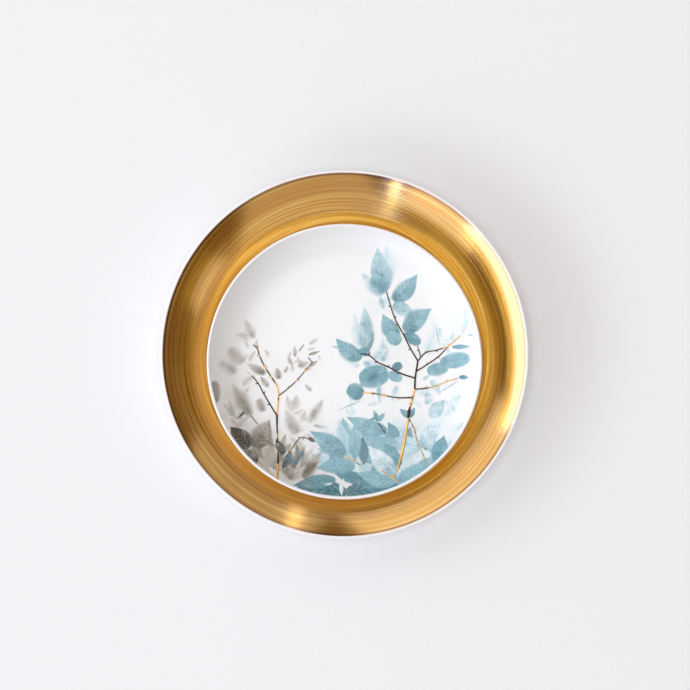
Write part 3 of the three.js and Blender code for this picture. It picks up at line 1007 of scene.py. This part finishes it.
def gilt_enamel():
    gilt = Finish("gilt_enamel")
    place = gilt.place()
    tone = gilt.node("ShaderNodeAttribute", {"attribute_name": "burnt"})
    burnt = gilt.signal(tone, "Fac")
    patch = gilt.cloud(place, 240.0, 3.0)
    grain = gilt.cloud(place, 1500.0, 2.0, shift=2.0)
    dark = gilt.between(burnt + (patch - 0.5) * 1.5, 0.38, 0.62)
    bright = gilt.blend(grain, (0.70, 0.36, 0.07, 1), (0.92, 0.60, 0.22, 1))
    soot = gilt.blend(grain, (0.014, 0.009, 0.007, 1), (0.075, 0.030, 0.014, 1))
    return gilt.coat({
        "Base Color": gilt.blend(dark, bright, soot),
        "Metallic": 1 - dark,
        "Roughness": grain * 0.15 + dark * 0.3 + 0.25,
        "Specular IOR Level": 0.2,
        "Normal": gilt.bump(grain, 0.04 * MM),
    })


class StemDrawing:
    """The stems of one spray, drawn in plan and laid on the plate's face."""

    def __init__(self, name):
        self.name = name
        self.shape = bmesh.new()
        self.burnt = self.shape.verts.layers.float.new("burnt")

    def draw(self, widths, burnt, path):
        """One stem through its points, with its width and tone at each end."""
        curve = bpy.data.curves.new("stem", "CURVE")
        curve.dimensions = "3D"
        curve.bevel_depth = 1.0
        curve.bevel_resolution = 2
        curve.resolution_u = 6
        curve.use_fill_caps = True
        spline = curve.splines.new("BEZIER")
        spline.bezier_points.add(len(path) - 1)
        last = len(path) - 1
        for place, (point, (x, y)) in enumerate(zip(spline.bezier_points, path)):
            point.co = (x, y, 0)
            point.handle_left_type = "AUTO"
            point.handle_right_type = "AUTO"
            point.radius = (widths[0] + (widths[1] - widths[0]) * place / last) / 2
        pencil = bpy.data.objects.new("stem", curve)
        scene.collection.objects.link(pencil)
        bpy.context.view_layer.update()
        tube = bpy.data.meshes.new_from_object(
            pencil.evaluated_get(bpy.context.evaluated_depsgraph_get())
        )
        before = len(self.shape.verts)
        self.shape.from_mesh(tube)
        self.shape.verts.ensure_lookup_table()
        start = Vector(path[0])
        reach = Vector(path[-1]) - start
        for corner in self.shape.verts[before:]:
            flat = corner.co.xy
            share = min(max((flat - start).dot(reach) / reach.length_squared, 0.0), 1.0)
            corner[self.burnt] = burnt[0] + (burnt[1] - burnt[0]) * share
            height = leaf_form.face_z(flat.length * MM) + STEM_LIFT
            corner.co = leaf_form.middle + Vector((
                flat.x * MM, flat.y * MM, height + corner.co.z * STEM_FLATNESS * MM
            ))
        bpy.data.objects.remove(pencil)
        bpy.data.curves.remove(curve)
        bpy.data.meshes.remove(tube)

    def twig(self, width, burnt, path):
        """A thin stem with a bud or a thorn at each of its knees."""
        self.draw((width, width * 0.7), burnt, path)
        side = 1
        for before, knee, after in zip(path, path[1:], path[2:]):
            heading = math.atan2(after[1] - before[1], after[0] - before[0]) + side * THORN_LEAN
            tip = (
                knee[0] + THORN_LENGTH * math.cos(heading),
                knee[1] + THORN_LENGTH * math.sin(heading),
            )
            self.draw((width * 0.9, width * 0.5), (burnt[0] - 0.2, burnt[1] - 0.2), [knee, tip])
            side = -side

    def finish(self, material, node):
        for face in self.shape.faces:
            face.smooth = True
        bmesh.ops.recalc_face_normals(self.shape, faces=self.shape.faces)
        piece = make_piece(self.name, self.shape, material)
        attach(piece, "leaf_plate")
        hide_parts(node)


gilding = gilt_enamel()

right = StemDrawing("gilt_stems_right")
right.draw((1.9, 2.1), (0.0, 0.0), [(41, -81.5), (43.2, -73), (45.4, -64)])
right.draw((2.1, 1.6), (0.0, 0.1), [(45.4, -64), (48.9, -43)])
right.draw((1.8, 2.3), (1.0, 1.0), [(48.9, -43.5), (49.4, -37.5)])
right.draw((1.7, 1.4), (0.6, 0.1), [(49.4, -38), (53.8, -21.3)])
right.draw((1.4, 1.3), (1.0, 1.0), [(53.8, -21.3), (54.2, -12.9), (56.2, 0.4)])
right.twig(1.1, (1.0, 0.75), [(56.2, 0.4), (51, 9), (45.5, 20), (41, 28), (38.5, 33),
                              (35.5, 42), (32, 53.7)])
right.twig(1.1, (1.1, 0.3), [(56.2, 0.4), (62.2, 6.7), (70, 8.5), (79.7, 11.6)])
right.twig(1.1, (1.0, 0.2), [(55, -7.6), (63, -2.5), (71, 3), (79.7, 11.6), (88.8, 20)])
right.twig(1.2, (1.1, 0.8), [(54.2, -12.9), (42, -8.7), (34, -4.5), (25, -0.3), (19, 4.5),
                             (12.5, 6)])
right.twig(1.0, (0.7, 0.2), [(53.8, -21.3), (62, -20.6), (71, -18.5), (78, -15.5),
                             (86.7, -12.9)])
right.twig(1.1, (1.0, 0.3), [(52.4, -27.6), (42, -27.8), (31, -26.2), (22, -24.4),
                             (14, -24)])
right.twig(0.9, (0.7, 0.3), [(49.2, -44), (53, -51), (56, -62), (63.6, -79)])
right.twig(0.8, (0.7, 0.6), [(58, 3.9), (57.2, 8), (55.9, 11.6)])
right.draw((0.9, 0.7), (0.0, 0.1), [(41, -81.5), (38.5, -85.5), (35.7, -88.5)])
right.twig(0.8, (0.1, 0.1), [(28.5, -83.5), (35.7, -88.5), (42.1, -92.3)])
right.twig(0.8, (0.4, 0.4), [(0, -72), (6, -75.5), (12.5, -80)])
right.draw((0.8, 0.6), (0.5, 0.7), [(25.8, -47), (31.4, -55)])
right.finish(gilding, "leaf_plate_gilt_stems_right")

left = StemDrawing("gilt_stems_left")
left.draw((2.0, 1.7), (0.0, 0.0), [(-50.9, -89), (-50.6, -78)])
left.draw((1.3, 1.1), (0.6, 0.6), [(-50.6, -78), (-51, -62), (-51.7, -50)])
left.draw((1.2, 1.6), (0.8, 1.1), [(-51.7, -50), (-51.7, -41.6)])
left.draw((1.2, 1.0), (0.5, 0.2), [(-51.7, -41.6), (-50.6, -26.2), (-51.3, -19.2)])
left.twig(1.1, (0.3, 0.9), [(-51.3, -19.2), (-56, -12), (-60.4, -5.2), (-65, 4),
                            (-67, 10), (-70.2, 13)])
left.twig(0.9, (0.9, 0.6), [(-50.6, -26.4), (-43, -20.5), (-36.6, -14.5), (-30, -7),
                            (-24.7, -0.3)])
left.twig(1.1, (1.1, 0.9), [(-51.7, -41.6), (-57, -33), (-61.8, -24.8), (-66, -17),
                            (-70.9, -10.8)])
left.draw((0.7, 0.5), (0.3, 0.3), [(-71.5, -10.2), (-75, -7.7)])
left.twig(0.9, (0.5, 1.0), [(-45, -74), (-42, -69), (-39.4, -65.4), (-35, -59.5),
                            (-32.4, -58.2), (-25.4, -60.5)])
left.draw((0.7, 0.5), (0.8, 0.4), [(-72, -41), (-66, -48.5)])
left.draw((0.6, 0.4), (0.7, 0.7), [(-60, -60), (-53, -65)])
left.draw((0.7, 0.4), (0.7, 0.6), [(-28, 3), (-24, -1)])
left.draw((0.7, 0.4), (0.6, 0.6), [(-35, 8), (-31, 13)])
left.draw((0.9, 0.6), (0.0, 0.3), [(-65, -76), (-61, -80)])
left.draw((0.7, 0.5), (0.2, 0.3), [(-59, -82), (-53, -87)])
left.finish(gilding, "leaf_plate_gilt_stems_left")
